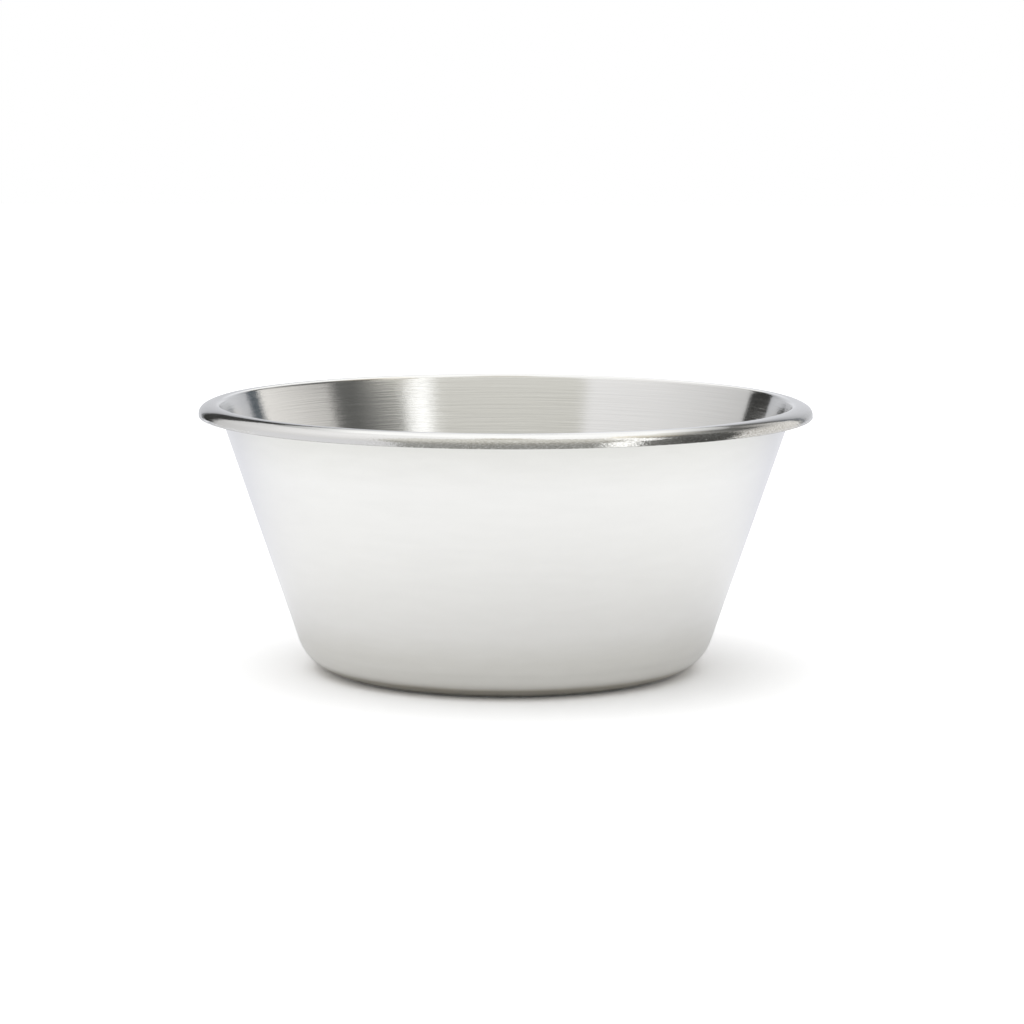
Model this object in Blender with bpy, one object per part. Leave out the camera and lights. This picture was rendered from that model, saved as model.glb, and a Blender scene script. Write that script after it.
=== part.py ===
"""Conical kitchen basin, pressed and rolled from one disc of stainless-steel sheet.

Metres, +Z up. The origin is the centre of the underside, so the basin stands on Z = 0 and its
axis is Z. The sheet has one thickness all over: a flat base, a rounded corner, a straight flaring
wall, and a rim. At the rim the same sheet turns over in a tight bend, falls gently across the
crown, and rolls down to a short upright skirt with an open lip.
"""

import math

import bmesh
import bpy

# Driving dimensions of the basin
RIM_DIAMETER = 0.240
HEIGHT = 0.105
BASE_FLAT_DIAMETER = 0.130
SHEET_THICKNESS = 0.0008
CORNER_OUTER_RADIUS = 0.0174
RIM_WIDTH_FROM_CREST = 0.0063
BEND_OUTER_RADIUS = 0.0022
CROWN_OUTER_RADIUS = 0.0090
ROLL_OUTER_RADIUS = 0.0030
SKIRT_HEIGHT = 0.0006

# Facets round the basin, and the widest turn between two points of an arc in the sheet's section
TURN_STEPS = 96
ARC_STEP = math.radians(11.0)
LIP_EDGE_STEP = math.radians(45.0)

# Finish of the bare metal
STEEL_COLOUR = (0.80, 0.80, 0.79, 1.0)
STEEL_ROUGHNESS = 0.28

# The section lies in the XZ plane, as (radius, height) points. The corner's centre lies on one side
# of the wall, and the centres of the rim's arcs on the other. Bend and crown meet at the crest, the
# rim's highest circle, so both have their centre below it.
CREST_RADIUS = RIM_DIAMETER / 2 - RIM_WIDTH_FROM_CREST
CORNER_CENTRE = (BASE_FLAT_DIAMETER / 2, CORNER_OUTER_RADIUS)
BEND_CENTRE = (CREST_RADIUS, HEIGHT - BEND_OUTER_RADIUS)
CROWN_CENTRE = (CREST_RADIUS, HEIGHT - CROWN_OUTER_RADIUS)

# Directions on an arc, counted from outwards (+X) towards up (+Z)
INWARDS = math.pi
UP = math.pi / 2
OUTWARDS = 0.0
DOWN = -math.pi / 2


def wall_lean():
    """Angle of the wall from upright: the line that is tangent to the corner and to the bend.

    The wall's outer face passes the corner's centre at the corner's outer radius and the bend's
    centre, on the other side, at the bend's inner radius. So the line through both centres meets
    the wall at an angle whose sine is the sum of those radii over the centres' distance.
    """
    across = BEND_CENTRE[0] - CORNER_CENTRE[0]
    up = BEND_CENTRE[1] - CORNER_CENTRE[1]
    both_radii = CORNER_OUTER_RADIUS + BEND_OUTER_RADIUS - SHEET_THICKNESS
    return math.atan2(across, up) - math.asin(both_radii / math.hypot(across, up))


def crown_turn():
    """Angle that the crown turns through before the roll, so that the roll ends at the rim's edge.

    The roll's circle touches the crown's circle from inside, so its centre is off the crest by the
    two radii's difference times the sine of this angle.
    """
    roll_off_crest = RIM_WIDTH_FROM_CREST - ROLL_OUTER_RADIUS
    return math.asin(roll_off_crest / (CROWN_OUTER_RADIUS - ROLL_OUTER_RADIUS))


def on_circle(centre, radius, angle):
    """The point of a circle that lies in the direction of the angle."""
    return (centre[0] + radius * math.cos(angle), centre[1] + radius * math.sin(angle))


def roll_centre():
    """Centre of the roll, on the line where the crown's turn ends."""
    radii_apart = CROWN_OUTER_RADIUS - ROLL_OUTER_RADIUS
    return on_circle(CROWN_CENTRE, radii_apart, UP - crown_turn())


def arc(centre, radius, start, end, widest_step):
    """Points of a circle from the start angle to the end angle, both included."""
    steps = max(1, math.ceil(abs(end - start) / widest_step))
    turn = (end - start) / steps
    return [on_circle(centre, radius, start + turn * step) for step in range(steps + 1)]


def sheet_face(depth):
    """One face of the sheet, from the axis to the lip, at a depth inside the outer face.

    Depth 0 is the face that the table and the hands touch, which ends under the rim. A depth of
    the sheet's thickness is the face that holds the food, which ends on the rim's outside.
    The crest and the rim's widest circle are points of their own, so that both are at full size.
    """
    lean = wall_lean()
    roll_start = UP - crown_turn()
    under_rim = SHEET_THICKNESS - depth
    bend_radius = BEND_OUTER_RADIUS - under_rim
    crown_radius = CROWN_OUTER_RADIUS - under_rim
    roll_radius = ROLL_OUTER_RADIUS - under_rim
    centre_of_base = (0.0, depth)
    corner = arc(CORNER_CENTRE, CORNER_OUTER_RADIUS - depth, DOWN, OUTWARDS - lean, ARC_STEP)
    bend = arc(BEND_CENTRE, bend_radius, INWARDS - lean, UP, ARC_STEP)
    crown = arc(CROWN_CENTRE, crown_radius, UP, roll_start, ARC_STEP)
    roll = arc(roll_centre(), roll_radius, roll_start, OUTWARDS, ARC_STEP)
    lip = (roll[-1][0], roll[-1][1] - SKIRT_HEIGHT)
    return [centre_of_base] + corner + bend + crown[1:] + roll[1:] + [lip]


def lip_edge():
    """The sheet's trimmed edge at the end of the skirt, rounded over from face to face."""
    half_sheet = SHEET_THICKNESS / 2
    middle = (RIM_DIAMETER / 2 - half_sheet, roll_centre()[1] - SKIRT_HEIGHT)
    return arc(middle, half_sheet, OUTWARDS, -INWARDS, LIP_EDGE_STEP)


def sheet_section():
    """The sheet's cut outline: up its inner face, round the lip and down its outer face."""
    inner = sheet_face(SHEET_THICKNESS)
    outer = sheet_face(0.0)
    return inner + lip_edge()[1:-1] + outer[::-1]


def steel():
    """Bare stainless steel with a satin polish."""
    material = bpy.data.materials.new("stainless_steel")
    material.use_nodes = True
    shader = material.node_tree.nodes["Principled BSDF"]
    shader.inputs["Base Color"].default_value = STEEL_COLOUR
    shader.inputs["Metallic"].default_value = 1.0
    shader.inputs["Roughness"].default_value = STEEL_ROUGHNESS
    return material


def basin_shell():
    """The whole basin: the sheet's section turned once round the Z axis."""
    section = bmesh.new()
    points = [section.verts.new((radius, 0.0, height)) for radius, height in sheet_section()]
    for start, end in zip(points, points[1:]):
        section.edges.new((start, end))
    mesh = bpy.data.meshes.new("basin_shell")
    section.to_mesh(mesh)
    section.free()
    mesh.materials.append(steel())

    basin = bpy.data.objects.new("basin_shell", mesh)
    bpy.context.scene.collection.objects.link(basin)
    turn = basin.modifiers.new("turn", "SCREW")
    turn.axis = "Z"
    turn.angle = 2 * math.pi
    turn.steps = TURN_STEPS
    turn.render_steps = TURN_STEPS
    turn.use_merge_vertices = True
    turn.merge_threshold = 0.00001
    turn.use_smooth_shade = True
    return basin


for leftover in list(bpy.data.objects):
    bpy.data.objects.remove(leftover, do_unlink=True)
basin_shell()
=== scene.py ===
"""Looks of a conical stainless-steel kitchen basin on a white table, in soft studio light."""

import math

import bpy
import numpy as np
from mathutils import Matrix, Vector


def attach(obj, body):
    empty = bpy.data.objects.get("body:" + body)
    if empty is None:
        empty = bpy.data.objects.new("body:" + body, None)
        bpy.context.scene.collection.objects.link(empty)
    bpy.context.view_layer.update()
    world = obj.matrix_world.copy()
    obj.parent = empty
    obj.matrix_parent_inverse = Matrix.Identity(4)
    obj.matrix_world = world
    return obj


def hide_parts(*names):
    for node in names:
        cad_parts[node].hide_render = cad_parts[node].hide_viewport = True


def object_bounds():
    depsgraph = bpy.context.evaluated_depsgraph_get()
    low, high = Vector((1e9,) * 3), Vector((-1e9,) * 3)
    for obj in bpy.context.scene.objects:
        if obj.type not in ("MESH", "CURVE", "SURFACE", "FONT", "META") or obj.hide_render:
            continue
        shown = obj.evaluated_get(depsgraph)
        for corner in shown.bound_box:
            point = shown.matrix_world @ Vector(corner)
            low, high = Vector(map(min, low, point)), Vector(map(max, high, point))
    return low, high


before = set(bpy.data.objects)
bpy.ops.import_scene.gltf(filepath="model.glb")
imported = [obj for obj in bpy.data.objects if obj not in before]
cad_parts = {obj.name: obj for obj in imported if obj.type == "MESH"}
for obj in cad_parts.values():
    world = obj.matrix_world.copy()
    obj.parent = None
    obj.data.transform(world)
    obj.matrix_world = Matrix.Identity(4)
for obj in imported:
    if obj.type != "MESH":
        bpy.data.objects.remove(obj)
cad_low, cad_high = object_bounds()
scene = bpy.context.scene


# Basin shell: one disc of stainless-steel sheet, pressed to a flat base and a flaring wall, with
# its edge rolled outwards into an open rim. It is brushed round and round inside, polished on the
# rim and satin outside. It is the whole basin, so nothing is fixed to it.
RIM_RADIUS = cad_high.x
HEIGHT = cad_high.z
BASE_FLAT_RADIUS = 0.065
SHEET_THICKNESS = 0.0008
CORNER_OUTER_RADIUS = 0.0174
RIM_WIDTH_FROM_CREST = 0.0063
BEND_OUTER_RADIUS = 0.0022
CROWN_OUTER_RADIUS = 0.0090
ROLL_OUTER_RADIUS = 0.0030
SKIRT_HEIGHT = 0.0006
LIP_ROUNDING = 0.0001
TURN_STEPS = 400
BASE_RINGS, CORNER_RINGS, WALL_RINGS = 12, 18, 16
BEND_RINGS, CROWN_RINGS, ROLL_RINGS, SKIRT_RINGS, LIP_RINGS = 14, 12, 20, 4, 5

# Places in the section, as (radius, height), and directions counted from outwards towards up
CORNER_CENTRE = np.array([BASE_FLAT_RADIUS, CORNER_OUTER_RADIUS])
BEND_CENTRE = np.array([RIM_RADIUS - RIM_WIDTH_FROM_CREST, HEIGHT - BEND_OUTER_RADIUS])
CROWN_CENTRE = np.array([RIM_RADIUS - RIM_WIDTH_FROM_CREST, HEIGHT - CROWN_OUTER_RADIUS])
CROWN_TO_ROLL = CROWN_OUTER_RADIUS - ROLL_OUTER_RADIUS
ROLL_START = math.acos((RIM_WIDTH_FROM_CREST - ROLL_OUTER_RADIUS) / CROWN_TO_ROLL)
ROLL_CENTRE = CROWN_CENTRE + CROWN_TO_ROLL * np.array([math.cos(ROLL_START), math.sin(ROLL_START)])
LIP_LOW = ROLL_CENTRE[1] - SKIRT_HEIGHT - SHEET_THICKNESS / 2
INWARDS, UP, OUTWARDS, DOWN = math.pi, math.pi / 2, 0.0, -math.pi / 2

# Order of the four finishes in the mesh
INSIDE, RIM, EDGE, OUTSIDE = range(4)

# Each finish's streaks, as their scale per metre round the basin, their scale per metre across and
# their detail, the depth of their grooves in metres, and the colours and roughness they go between
BRUSH_STREAKS, BRUSH_DEPTH = (24.0, 1800.0, 3.0), 0.00007
BRUSHED_DARK, BRUSHED_LIGHT = (0.85, 0.85, 0.84), (0.885, 0.885, 0.875)
BRUSHED_ROUGHNESS = (0.11, 0.16)
TOOL_STREAKS, TOOL_DEPTH = (900.0, 2600.0, 2.0), 0.00006
# The tool-marked colour is partly the marks' own and partly painted shade
POLISHED, TOOL_MARKS_AND_SHADE = (0.89, 0.89, 0.88), (0.64, 0.63, 0.60)
POLISHED_ROUGHNESS = (0.06, 0.13)
SHEAR_STREAKS = (900.0, 900.0, 2.0)
# The sheared edge's colours are partly its own and partly painted shade under the lip
SHEARED_SHADED_DARK, SHEARED_SHADED_LIGHT = (0.20, 0.20, 0.19), (0.32, 0.32, 0.31)
SHEARED_ROUGHNESS = (0.40, 0.60)
SATIN_STREAKS, SATIN_LIGHTENING = (60.0, 300.0, 2.0), 0.12
SATIN_ROUGHNESS = (0.10, 0.13)
NOISE_LOW, NOISE_HIGH = 0.3, 0.7

# The rim's tool marks grow between two heights. They darken between two places along x, which is
# painted shade on one half of the rim.
MARKS_NONE_HEIGHT, MARKS_FULL_HEIGHT = HEIGHT - 0.0008, HEIGHT - 0.0025
MARKS_UNSHADED_X, MARKS_PAINTED_SHADE_X = -0.06, -0.01

# Height above the table and the satin's colour there. The colours hold painted shade: darker under
# the rim and on the lower wall, and a dark ring at the base's edge that is partly wear and partly
# painted shade.
SATIN_AND_SHADE_BY_HEIGHT = [
    (0.0002, (0.80, 0.80, 0.79)),
    (0.0008, (0.49, 0.46, 0.41)),
    (0.0034, (0.54, 0.51, 0.45)),
    (0.0049, (0.83, 0.82, 0.795)),
    (0.0062, (0.88, 0.872, 0.85)),
    (0.0100, (0.80, 0.792, 0.768)),
    (0.0150, (0.80, 0.792, 0.768)),
    (0.026, (0.865, 0.86, 0.852)),
    (0.082, (0.87, 0.87, 0.87)),
    (0.094, (0.80, 0.80, 0.79)),
    (0.099, (0.745, 0.745, 0.73)),
]


def wall_lean():
    """Angle of the wall from upright: the cross tangent of the corner's and the bend's circles.

    Its sine against the line of centres is the sum of the two radii over the centres' distance.
    """
    across, up = BEND_CENTRE - CORNER_CENTRE
    both_radii = CORNER_OUTER_RADIUS + BEND_OUTER_RADIUS - SHEET_THICKNESS
    return math.atan2(across, up) - math.asin(both_radii / math.hypot(across, up))


def arc(centre, radius, start, end, points):
    """Points (radius, height) of a circle: its centre plus the radius times (cosine, sine)."""
    angles = np.linspace(start, end, points)
    return centre + radius * np.stack([np.cos(angles), np.sin(angles)], axis=1)


def line(start, end, points):
    """Points of a straight run, as shares of the way between two ends that it leaves out."""
    share = np.linspace(0.0, 1.0, points + 2)[1:-1, None]
    return start + share * (end - start)


def sheet_face(depth):
    """One face of the sheet from the axis to the lip, in its four runs, at a depth in the sheet.

    The runs are the base's flat, the corner's arc, the wall's line and the rim: a tight bend, a
    crown that falls gently, the roll's arc and a short upright skirt.
    """
    lean = wall_lean()
    under = SHEET_THICKNESS - depth
    corner = arc(CORNER_CENTRE, CORNER_OUTER_RADIUS - depth, DOWN, OUTWARDS - lean, CORNER_RINGS)
    bend = arc(BEND_CENTRE, BEND_OUTER_RADIUS - under, INWARDS - lean, UP, BEND_RINGS)
    crown = arc(CROWN_CENTRE, CROWN_OUTER_RADIUS - under, UP, ROLL_START, CROWN_RINGS)
    roll = arc(ROLL_CENTRE, ROLL_OUTER_RADIUS - under, ROLL_START, OUTWARDS, ROLL_RINGS)
    skirt = line(roll[-1], np.array([roll[-1, 0], LIP_LOW + LIP_ROUNDING]), SKIRT_RINGS)
    rim = np.concatenate([bend, crown[1:], roll[1:], skirt])
    base = np.concatenate([[[0.0, depth]], line(np.array([0.0, depth]), corner[0], BASE_RINGS)])
    return [base, corner, line(corner[-1], bend[0], WALL_RINGS), rim]


def lip_edge():
    """The sheet's trimmed edge: level, with a quarter of a small circle at each of its corners."""
    height = LIP_LOW + LIP_ROUNDING
    outside = np.array([RIM_RADIUS - LIP_ROUNDING, height])
    inside = np.array([RIM_RADIUS - SHEET_THICKNESS + LIP_ROUNDING, height])
    return np.concatenate([
        arc(outside, LIP_ROUNDING, OUTWARDS, DOWN, LIP_RINGS),
        arc(inside, LIP_ROUNDING, DOWN, -INWARDS, LIP_RINGS),
    ])


def sheet_section():
    """The sheet's outline, up the inner face, round the lip's edge and down the outer face.

    Also the finish of each ring between two points of the outline.
    """
    inner = sheet_face(SHEET_THICKNESS)
    outer = sheet_face(0.0)
    runs = inner + [lip_edge()] + [run[::-1] for run in outer[::-1]]
    finishes = [INSIDE] * 3 + [RIM, EDGE] + [OUTSIDE] * 4
    finish = np.repeat(finishes, [len(run) for run in runs])
    return np.concatenate(runs), finish[:-1]


def turned_mesh(name, points, finish, steps):
    """Surface of revolution: each (radius, height) point turned round Z, both ends on the axis.

    A point at turn t is (radius cos t, radius sin t, height). The first and the last point are
    single vertices, with a fan of triangles round each. "along" holds the length of the section
    up to each ring, so that patterns can follow the sheet.
    """
    turn = np.arange(steps) * 2 * math.pi / steps
    rings = points[1:-1]
    grid = np.empty((len(rings), steps, 3))
    grid[..., 0] = rings[:, :1] * np.cos(turn)
    grid[..., 1] = rings[:, :1] * np.sin(turn)
    grid[..., 2] = rings[:, 1:]
    poles = np.array([[0.0, 0.0, points[0, 1]], [0.0, 0.0, points[-1, 1]]])
    places = np.concatenate([grid.reshape(-1, 3), poles])

    here = np.arange(steps)
    beside = (here + 1) % steps
    row = (np.arange(len(rings) - 1) * steps)[:, None]
    quads = np.stack([row + here, row + beside, row + steps + beside, row + steps + here], axis=-1)
    first, last = len(places) - 2, len(places) - 1
    top = (len(rings) - 1) * steps
    start_fan = np.stack([np.full(steps, first), beside, here], axis=-1)
    end_fan = np.stack([np.full(steps, last), top + here, top + beside], axis=-1)
    faces = start_fan.tolist() + quads.reshape(-1, 4).tolist() + end_fan.tolist()
    mesh = bpy.data.meshes.new(name)
    mesh.from_pydata(places.tolist(), [], faces)

    length = np.concatenate([[0.0], np.cumsum(np.hypot(*np.diff(points, axis=0).T))])
    along = np.concatenate([np.repeat(length[1:-1], steps), length[[0, -1]]])
    mesh.attributes.new("along", "FLOAT", "POINT").data.foreach_set("value", along)
    mesh.polygons.foreach_set("material_index", np.repeat(finish, steps))
    mesh.polygons.foreach_set("use_smooth", np.ones(len(mesh.polygons), bool))
    mesh.update()
    return mesh


def steel(name):
    """A bare metal material, with its node tree and its shader."""
    material = bpy.data.materials.new(name)
    material.use_nodes = True
    shader = material.node_tree.nodes["Principled BSDF"]
    shader.inputs["Metallic"].default_value = 1.0
    return material, material.node_tree, shader


def scaled(tree, vector, scales):
    """A vector with each of its three parts multiplied by a scale of its own."""
    node = tree.nodes.new("ShaderNodeVectorMath")
    node.operation = "MULTIPLY"
    node.inputs[1].default_value = scales
    tree.links.new(vector, node.inputs[0])
    return node.outputs["Vector"]


def streaks(tree, per_metre_round, per_metre_across, detail):
    """Noise drawn out round the basin: x and y by the first scale, the way along by the second."""
    place = tree.nodes.new("ShaderNodeTexCoord")
    flat = scaled(tree, place.outputs["Object"], (per_metre_round, per_metre_round, 0.0))
    along = tree.nodes.new("ShaderNodeAttribute")
    along.attribute_name = "along"
    lift = scaled(tree, along.outputs["Vector"], (0.0, 0.0, per_metre_across))
    both = tree.nodes.new("ShaderNodeVectorMath")
    both.operation = "ADD"
    tree.links.new(flat, both.inputs[0])
    tree.links.new(lift, both.inputs[1])
    noise = tree.nodes.new("ShaderNodeTexNoise")
    noise.inputs["Scale"].default_value = 1.0
    noise.inputs["Detail"].default_value = detail
    tree.links.new(both.outputs["Vector"], noise.inputs["Vector"])
    return noise.outputs["Fac"]


def coordinate(tree, axis):
    """How far a point of the piece lies along an axis, in metres."""
    place = tree.nodes.new("ShaderNodeTexCoord")
    parts = tree.nodes.new("ShaderNodeSeparateXYZ")
    tree.links.new(place.outputs["Object"], parts.inputs["Vector"])
    return parts.outputs[axis]


def faded(tree, value, none, full, low=0.0, high=1.0):
    """A value mapped straight to low where it is at none and to high where it is at full."""
    node = tree.nodes.new("ShaderNodeMapRange")
    node.inputs["From Min"].default_value = none
    node.inputs["From Max"].default_value = full
    node.inputs["To Min"].default_value = low
    node.inputs["To Max"].default_value = high
    tree.links.new(value, node.inputs["Value"])
    return node.outputs["Result"]


def spread(tree, noise, low, high):
    """Noise mapped straight from the range that it mostly keeps to, to one from low to high."""
    return faded(tree, noise, NOISE_LOW, NOISE_HIGH, low, high)


def reckoned(tree, operation, first, second):
    """Two values put together by one operation, such as their product or the larger of the two."""
    node = tree.nodes.new("ShaderNodeMath")
    node.operation = operation
    tree.links.new(first, node.inputs[0])
    tree.links.new(second, node.inputs[1])
    return node.outputs["Value"]


def mixed(tree, share, first, second):
    """A colour that goes straight from the first to the second as the share goes from 0 to 1."""
    mix = tree.nodes.new("ShaderNodeMix")
    mix.data_type = "RGBA"
    mix.inputs["A"].default_value = (*first, 1.0)
    mix.inputs["B"].default_value = (*second, 1.0)
    tree.links.new(share, mix.inputs["Factor"])
    return mix.outputs["Result"]


def grooved(tree, shader, value, depth):
    """Bump from a value, with the depth of its grooves in metres."""
    bump = tree.nodes.new("ShaderNodeBump")
    bump.inputs["Strength"].default_value = 1.0
    bump.inputs["Distance"].default_value = depth
    tree.links.new(value, bump.inputs["Height"])
    tree.links.new(bump.outputs["Normal"], shader.inputs["Normal"])


def brushed_inside():
    """Brushed round the axis: sharp round the basin, smeared up and down the wall.

    The gloss's smear is turned by a quarter, so that it runs across the streaks.
    """
    material, tree, shader = steel("brushed_inside")
    fine = streaks(tree, *BRUSH_STREAKS)
    colour = mixed(tree, spread(tree, fine, 0.0, 1.0), BRUSHED_DARK, BRUSHED_LIGHT)
    tree.links.new(colour, shader.inputs["Base Color"])
    tree.links.new(spread(tree, fine, *BRUSHED_ROUGHNESS), shader.inputs["Roughness"])
    shader.inputs["Anisotropic"].default_value = 1.0
    shader.inputs["Anisotropic Rotation"].default_value = 0.25
    grooved(tree, shader, fine, BRUSH_DEPTH)
    return material


def polished_rim():
    """Buffed bright on the crown. The rolling tool has left fine marks on the face below it.

    The marks grow from none on the crown to full at the roll. They are darker on one half, which is
    painted shade.
    """
    material, tree, shader = steel("polished_rim")
    fine = streaks(tree, *TOOL_STREAKS)
    below = faded(tree, coordinate(tree, "Z"), MARKS_NONE_HEIGHT, MARKS_FULL_HEIGHT)
    # Painted shade: the marks darken only towards one half along x
    painted_shade_half = faded(tree, coordinate(tree, "X"), MARKS_UNSHADED_X, MARKS_PAINTED_SHADE_X)
    marks = reckoned(tree, "MULTIPLY", spread(tree, fine, 0.0, 1.0), below)
    specks_and_shade = reckoned(tree, "MULTIPLY", marks, painted_shade_half)
    tree.links.new(mixed(tree, specks_and_shade, POLISHED, TOOL_MARKS_AND_SHADE), shader.inputs["Base Color"])
    tree.links.new(spread(tree, fine, *POLISHED_ROUGHNESS), shader.inputs["Roughness"])
    grooved(tree, shader, reckoned(tree, "MULTIPLY", fine, below), TOOL_DEPTH)
    return material


def trimmed_edge():
    """The lip's sheared edge: dull, with fine marks across it. Its dark colour is partly the cut
    edge's own and partly painted shade under the lip.
    """
    material, tree, shader = steel("trimmed_edge")
    fine = streaks(tree, *SHEAR_STREAKS)
    colour = mixed(tree, spread(tree, fine, 0.0, 1.0), SHEARED_SHADED_DARK, SHEARED_SHADED_LIGHT)
    tree.links.new(colour, shader.inputs["Base Color"])
    tree.links.new(spread(tree, fine, *SHEARED_ROUGHNESS), shader.inputs["Roughness"])
    return material


def satin_outside():
    """Fine even satin, whose streaks lighten a colour that follows a ramp by height.

    The ramp holds painted shade: darker under the rim and on the lower wall, and a darker ring at
    the base's edge that is partly wear and partly painted shade.
    """
    material, tree, shader = steel("satin_outside")
    fine = streaks(tree, *SATIN_STREAKS)
    # A ramp of colours by height, with painted shade under the rim, on the lower wall and at the
    # base's edge
    ramp = tree.nodes.new("ShaderNodeValToRGB")
    stops = ramp.color_ramp.elements
    while len(stops) < len(SATIN_AND_SHADE_BY_HEIGHT):
        stops.new(1.0)
    for stop, (height, colour) in zip(stops, SATIN_AND_SHADE_BY_HEIGHT):
        stop.position = height / HEIGHT
        stop.color = (*colour, 1.0)
    tree.links.new(faded(tree, coordinate(tree, "Z"), 0.0, HEIGHT), ramp.inputs["Fac"])
    lighten = tree.nodes.new("ShaderNodeMix")
    lighten.data_type = "RGBA"
    lighten.blend_type = "SCREEN"
    lighten.inputs["B"].default_value = (1.0, 1.0, 1.0, 1.0)
    tree.links.new(spread(tree, fine, 0.0, SATIN_LIGHTENING), lighten.inputs["Factor"])
    tree.links.new(ramp.outputs["Color"], lighten.inputs["A"])
    tree.links.new(lighten.outputs["Result"], shader.inputs["Base Color"])
    tree.links.new(spread(tree, fine, *SATIN_ROUGHNESS), shader.inputs["Roughness"])
    return material


basin_mesh = turned_mesh("basin", *sheet_section(), TURN_STEPS)
for finish in (brushed_inside(), polished_rim(), trimmed_edge(), satin_outside()):
    basin_mesh.materials.append(finish)
basin = bpy.data.objects.new("basin", basin_mesh)
scene.collection.objects.link(basin)
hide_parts("basin_shell")
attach(basin, "root")


# Table: a plain white board, painted matt, that the basin stands on. The camera sees it brighter
# than the basin does, so that it goes to white round the basin and keeps the shadow. For all else
# its colour darkens towards the back, which is painted shade that the metal mirrors.
TABLE_HALF = 4.0
TABLE_DROP = 0.0001
TABLE_BY_BASIN = (0.97, 0.97, 0.955)
# Painted shade: the table's colour far behind the basin, and the stretch of y over which it darkens
TABLE_BEHIND_SHADED = (0.76, 0.765, 0.80)
TABLE_SHADE_FROM_Y, TABLE_SHADE_TO_Y = -0.10, 0.32
TABLE_FOR_CAMERA = (1.27, 1.27, 1.27)


def painted_white():
    """Matt white paint, whose colour falls off smoothly along y for all but the camera, as painted
    shade towards the back.
    """
    material = bpy.data.materials.new("white_table")
    material.use_nodes = True
    tree = material.node_tree
    tree.nodes.clear()
    shade_behind = tree.nodes.new("ShaderNodeMapRange")
    shade_behind.interpolation_type = "SMOOTHSTEP"
    shade_behind.inputs["From Min"].default_value = TABLE_SHADE_FROM_Y
    shade_behind.inputs["From Max"].default_value = TABLE_SHADE_TO_Y
    tree.links.new(coordinate(tree, "Y"), shade_behind.inputs["Value"])
    colour = tree.nodes.new("ShaderNodeMix")
    colour.data_type = "RGBA"
    shaded_fall = mixed(tree, shade_behind.outputs["Result"], TABLE_BY_BASIN, TABLE_BEHIND_SHADED)
    tree.links.new(shaded_fall, colour.inputs["A"])
    colour.inputs["B"].default_value = (*TABLE_FOR_CAMERA, 1.0)
    seen = tree.nodes.new("ShaderNodeLightPath")
    tree.links.new(seen.outputs["Is Camera Ray"], colour.inputs["Factor"])
    paint = tree.nodes.new("ShaderNodeBsdfDiffuse")
    tree.links.new(colour.outputs["Result"], paint.inputs["Color"])
    end = tree.nodes.new("ShaderNodeOutputMaterial")
    tree.links.new(paint.outputs["BSDF"], end.inputs["Surface"])
    return material


def table_top():
    """A flat square under the basin, just clear of it."""
    reach = TABLE_HALF
    corners = [(-reach, -reach), (reach, -reach), (reach, reach), (-reach, reach)]
    mesh = bpy.data.meshes.new("table")
    mesh.from_pydata([(x, y, -TABLE_DROP) for x, y in corners], [], [(0, 1, 2, 3)])
    return mesh


table_mesh = table_top()
table_mesh.materials.append(painted_white())
table = bpy.data.objects.new("table", table_mesh)
scene.collection.objects.link(table)


# Studio: an even white room, a large soft light above the basin, a little to the left, and the
# cloth panels of a light tent round it, which only the metal mirrors. Bearings go from the camera's
# side to the camera's right, and heights up from the table, both in degrees.
ROOM_LIGHT = 0.85
TOP_LIGHT = 0.75
TOP_LIGHT_WIDTH = math.radians(60.0)
TOP_LIGHT_SIDE = math.radians(-6.0)
PANEL_STEPS = 60
PLAIN, WARM, ROSY = (1.0, 1.0, 0.99), (1.0, 1.0, 0.96), (1.0, 0.99, 0.985)
PEACH, COOL, BLUE = (1.0, 0.975, 0.94), (0.97, 0.98, 1.02), (0.86, 1.0, 1.14)
SAND, TAN, LILAC = (1.0, 0.985, 0.92), (1.0, 0.935, 0.80), (0.99, 0.985, 1.0)

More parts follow.
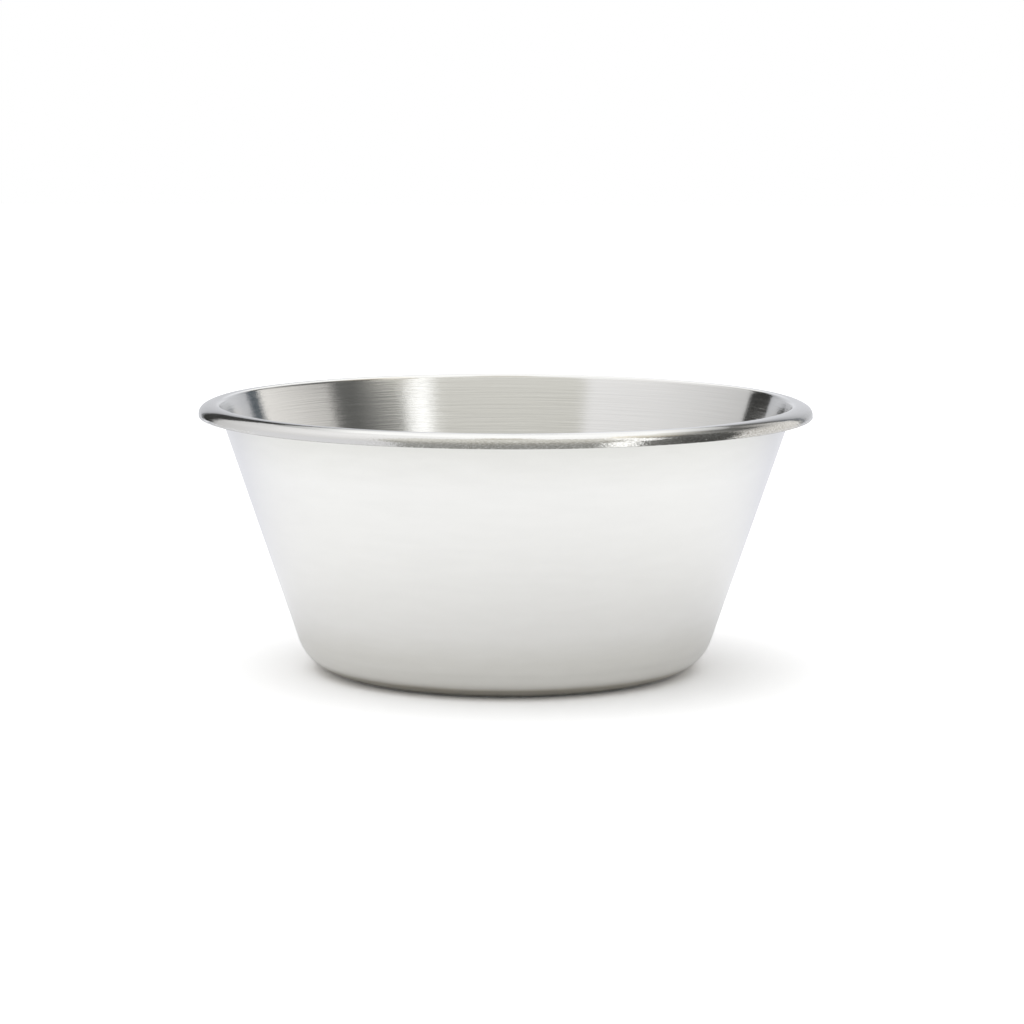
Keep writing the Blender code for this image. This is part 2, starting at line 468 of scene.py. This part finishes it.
# Each panel's name, then the low edge's two ends and the high edge's two ends as (bearing, height),
# the distances of its left and right side in metres, the glows of the four ends in the same order,
# and its tint
TENT = {
    "camera_low": ((-34, -1), (37, -1), (-34, 24), (37, 24),
                   (0.42, 0.42), (0.30, 0.30, 0.41, 0.41), WARM),
    "camera_middle": ((-34, 24), (37, 24), (-41, 36), (42, 36),
                      (0.42, 0.42), (0.41, 0.41, 0.45, 0.45), SAND),
    "camera_high": ((-41, 36), (42, 36), (-45.3, 46), (44.3, 46),
                    (0.42, 0.42), (0.45, 0.45, 0.68, 0.68), SAND),
    "camera_top": ((-45.3, 46), (44.3, 46), (-48, 66), (50, 66),
                   (0.42, 0.42), (0.70, 0.70, 0.74, 0.74), SAND),
    "strip_low": ((30.7, -1), (42, -1), (31.2, 29), (42.5, 29),
                  (0.41, 0.41), (1.3, 1.3, 1.3, 1.3), PLAIN),
    "strip_middle": ((31.2, 29), (42.5, 29), (42.4, 41), (56, 41),
                     (0.41, 0.41), (1.3, 1.3, 1.3, 1.3), PLAIN),
    "strip_high": ((42.4, 41), (56, 41), (44.8, 62), (58.4, 62),
                   (0.41, 0.41), (1.3, 1.3, 1.3, 1.3), PLAIN),
    "glow_low": ((38, -1), (64, -1), (42, 34), (64, 34),
                 (0.42, 0.42), (0.24, 0.075, 0.30, 0.075), WARM),
    "glow_middle": ((42, 34), (64, 34), (50, 47), (64, 47),
                    (0.42, 0.42), (0.30, 0.075, 0.60, 0.16), WARM),
    "glow_high": ((50, 47), (64, 47), (52, 54), (64, 54),
                  (0.42, 0.42), (0.60, 0.16, 0.50, 0.20), WARM),
    "dim_low": ((64, -1), (78, -1), (64, 47), (90, 47),
                (0.42, 0.42), (0.075, 0.08, 0.16, 0.09), WARM),
    "dim_high": ((64, 47), (90, 47), (64, 54), (90, 54),
                 (0.42, 0.42), (0.16, 0.09, 0.20, 0.10), WARM),
    "dim_top": ((52, 54), (90, 54), (52, 66), (90, 66),
                (0.42, 0.42), (0.40, 0.10, 1.05, 0.80), TAN),
    "near_low": ((65, 47), (100, 47), (65.5, 58), (100, 58),
                 (0.26, 0.26), (0.22, 0.08, 0.42, 0.14), WARM),
    "near_high": ((65.5, 58), (100, 58), (66, 67.5), (100, 67.5),
                  (0.26, 0.26), (0.42, 0.15, 1.0, 0.92), SAND),
    "right_low": ((85.5, -1), (132.8, -1), (88.8, 23), (134.2, 23),
                  (0.65, 0.79), (0.74, 0.80, 0.69, 0.90), PEACH),
    "right_middle": ((88.8, 23), (134.2, 23), (90.5, 32), (146, 32),
                     (0.65, 0.79), (0.69, 0.90, 0.60, 0.74), PEACH),
    "right_high": ((90.5, 32), (146, 32), (93, 46), (150, 46),
                   (0.65, 0.79), (0.60, 0.74, 0.12, 0.10), PEACH),
    "right_arch": ((93, 57), (132, 55), (93, 75), (132, 70),
                   (0.65, 0.65), (0.10, 0.10, 1.12, 1.12), TAN),
    "right_gap": ((126, -1), (150, -1), (130, 30), (156, 30),
                  (1.1, 1.1), (0.10, 0.10, 0.12, 0.12), BLUE),
    "back_right_low": ((140, -1), (176, -1), (141.8, 17), (176, 17),
                       (1.0, 0.8), (0.60, 0.88, 0.52, 0.72), COOL),
    "back_left_low": ((176, -1), (213.7, -1), (176, 17), (210.2, 17),
                      (0.8, 0.8), (0.88, 0.64, 0.72, 0.52), COOL),
    "back_right_high": ((141.8, 17), (176, 17), (156, 33), (176, 33),
                        (1.0, 0.8), (0.52, 0.72, 0.22, 1.05), COOL),
    "back_left_high": ((176, 17), (210.2, 17), (176, 33), (194, 33),
                       (0.8, 0.8), (0.72, 0.52, 1.05, 0.30), COOL),
    "fade_right": ((132, 51), (176, 31), (132, 68), (176, 40),
                   (0.65, 0.65), (0.12, 1.0, 1.12, 1.15), PLAIN),
    "fade_left": ((176, 31), (212, 42), (176, 40), (222, 62),
                  (0.65, 0.65), (1.0, 0.28, 1.15, 1.05), PLAIN),
    "left_back_low": ((230.7, -1), (280, -1), (228.7, 22), (280, 22),
                      (0.8, 0.65), (0.58, 0.75, 0.58, 0.76), ROSY),
    "left_back_high": ((228.7, 22), (280, 22), (198, 46), (280, 46),
                       (0.8, 0.65), (0.58, 0.76, 0.72, 0.82), ROSY),
    "left_back_top": ((206, 46), (280, 46), (215, 66), (280, 66),
                      (0.8, 0.65), (0.78, 0.84, 0.95, 0.95), ROSY),
    "left_low": ((266, -1), (326, -1), (266, 24), (326, 24),
                 (0.42, 0.42), (0.73, 0.72, 0.72, 0.73), LILAC),
    "left_middle": ((266, 24), (326, 24), (266, 36), (319, 36),
                    (0.42, 0.42), (0.71, 0.73, 0.76, 0.78), ROSY),
    "left_high": ((266, 36), (319, 36), (266, 46), (314.7, 46),
                  (0.42, 0.42), (0.76, 0.78, 0.83, 0.86), ROSY),
    "left_top": ((266, 46), (314.7, 46), (266, 66), (312, 66),
                 (0.42, 0.42), (0.83, 0.86, 0.95, 0.92), ROSY),
    "top_near": ((-62, 66), (62, 66), (-62, 85), (62, 85),
                 (0.5, 0.5), (0.74, 0.74, 0.76, 0.76), SAND),
    "top_left": ((215, 66), (298, 66), (215, 85), (298, 85),
                 (0.6, 0.6), (0.95, 0.92, 1.0, 1.0), PLAIN),
    "top_right": ((62, 66), (93, 74), (62, 85), (93, 85),
                  (0.6, 0.6), (1.05, 1.05, 1.05, 1.05), PLAIN),
    "top_middle": ((0, 85), (360, 85), (0, 90), (360, 90),
                   (0.5, 0.5), (0.62, 0.62, 0.54, 0.54), TAN),
    "dome": ((0, 48), (360, 48), (0, 90), (360, 90),
             (1.4, 1.4), (1.1, 1.1, 1.1, 1.1), PLAIN),
    "dark_right": ((50, -1), (140, -1), (50, 58), (136, 54),
                   (1.2, 1.2), (0.11, 0.11, 0.15, 0.15), WARM),
    "dark_back_right": ((140, -1), (176, -1), (136, 52), (176, 36),
                        (1.2, 1.2), (0.11, 0.11, 0.15, 0.15), WARM),
    "dark_back_left": ((176, -1), (236, -1), (176, 36), (236, 46),
                       (1.2, 1.2), (0.03, 0.03, 0.05, 0.05), WARM),
}


def panel(name, low_left, low_right, high_left, high_right, distances, glows, tint):
    """A patch of a sphere round the basin, between four corners.

    Bearing a, height e and distance go straight from corner to corner, and a point is the distance
    times (sin a cos e, -cos a cos e, sin e). The brightness also goes straight from corner to
    corner, and is held in the colour attribute "glow".
    """
    across = np.linspace(0.0, 1.0, PANEL_STEPS + 1)[None, :, None]
    up = np.linspace(0.0, 1.0, PANEL_STEPS + 1)[:, None, None]
    ends = zip((low_left, low_right, high_left, high_right), 2 * distances, glows)
    corners = [np.array([*end, distance, glow]) for end, distance, glow in ends]
    low = corners[0] + across * (corners[1] - corners[0])
    high = corners[2] + across * (corners[3] - corners[2])
    bearing, height, distance, glow = np.moveaxis(low + up * (high - low), -1, 0)
    bearing, height = np.radians(bearing), np.radians(height)
    level = np.cos(height)
    places = distance[..., None] * np.stack(
        [np.sin(bearing) * level, -np.cos(bearing) * level, np.sin(height)], axis=-1
    )
    colour = np.ones((*glow.shape, 4))
    colour[..., :3] = glow[..., None] * np.array(tint)
    corner = np.arange(glow.size).reshape(glow.shape)
    quads = np.stack([corner[:-1, :-1], corner[:-1, 1:], corner[1:, 1:], corner[1:, :-1]], axis=-1)
    mesh = bpy.data.meshes.new(name)
    mesh.from_pydata(places.reshape(-1, 3).tolist(), [], quads.reshape(-1, 4).tolist())
    mesh.attributes.new("glow", "FLOAT_COLOR", "POINT").data.foreach_set("color", colour.ravel())
    made = bpy.data.objects.new(name, mesh)
    scene.collection.objects.link(made)
    made.visible_camera = False
    made.visible_diffuse = False
    made.visible_shadow = False
    return made


def panel_cloth():
    """Lit cloth: it shines with the colour that its panel holds at each point."""
    material = bpy.data.materials.new("panel_cloth")
    material.use_nodes = True
    tree = material.node_tree
    tree.nodes.clear()
    glow = tree.nodes.new("ShaderNodeAttribute")
    glow.attribute_name = "glow"
    shine = tree.nodes.new("ShaderNodeEmission")
    tree.links.new(glow.outputs["Color"], shine.inputs["Color"])
    end = tree.nodes.new("ShaderNodeOutputMaterial")
    tree.links.new(shine.outputs["Emission"], end.inputs["Surface"])
    return material


def white_room():
    """Even light all round, at full white for the camera and for what metal or glass shows."""
    room = bpy.data.worlds.new("room")
    room.use_nodes = True
    tree = room.node_tree
    tree.nodes.clear()
    path = tree.nodes.new("ShaderNodeLightPath")
    seen, mirrored = path.outputs["Is Camera Ray"], path.outputs["Is Glossy Ray"]
    shown = reckoned(tree, "MAXIMUM", seen, mirrored)
    shown = reckoned(tree, "MAXIMUM", shown, path.outputs["Is Transmission Ray"])
    white = tree.nodes.new("ShaderNodeBackground")
    white.inputs["Color"].default_value = (1.0, 1.0, 1.0, 1.0)
    tree.links.new(faded(tree, shown, 0.0, 1.0, ROOM_LIGHT, 1.0), white.inputs["Strength"])
    end = tree.nodes.new("ShaderNodeOutputWorld")
    tree.links.new(white.outputs["Background"], end.inputs["Surface"])
    return room


cloth = panel_cloth()
for name, shape in TENT.items():
    made = panel(name, *shape)
    made.data.materials.append(cloth)

top_light = bpy.data.lights.new("top_light", "SUN")
top_light.energy = TOP_LIGHT
top_light.angle = TOP_LIGHT_WIDTH
top_lamp = bpy.data.objects.new("top_light", top_light)
top_lamp.rotation_euler = (0.0, TOP_LIGHT_SIDE, 0.0)
top_lamp.visible_glossy = False
scene.collection.objects.link(top_lamp)
scene.world = white_room()


# Camera: a long lens 1.3 m in front of the basin and a little above its rim, looking slightly down.
# It leans to the side by a fifth of a degree. Both angles are in radians.
CAMERA_PLACE = (0.0026, -1.3263, 0.2413)
CAMERA_LOOKS_DOWN = 0.1350
CAMERA_LEANS = 0.0033
LENS_MM = 119.53
SENSOR_MM = 36.0

camera_data = bpy.data.cameras.new("camera")
camera_data.sensor_width = SENSOR_MM
camera_data.lens = LENS_MM
camera = bpy.data.objects.new("camera", camera_data)
camera.matrix_world = (
    Matrix.Translation(CAMERA_PLACE)
    @ Matrix.Rotation(math.radians(90.0) - CAMERA_LOOKS_DOWN, 4, "X")
    @ Matrix.Rotation(CAMERA_LEANS, 4, "Z")
)
scene.collection.objects.link(camera)
scene.camera = camera
scene.view_settings.view_transform = "Standard"
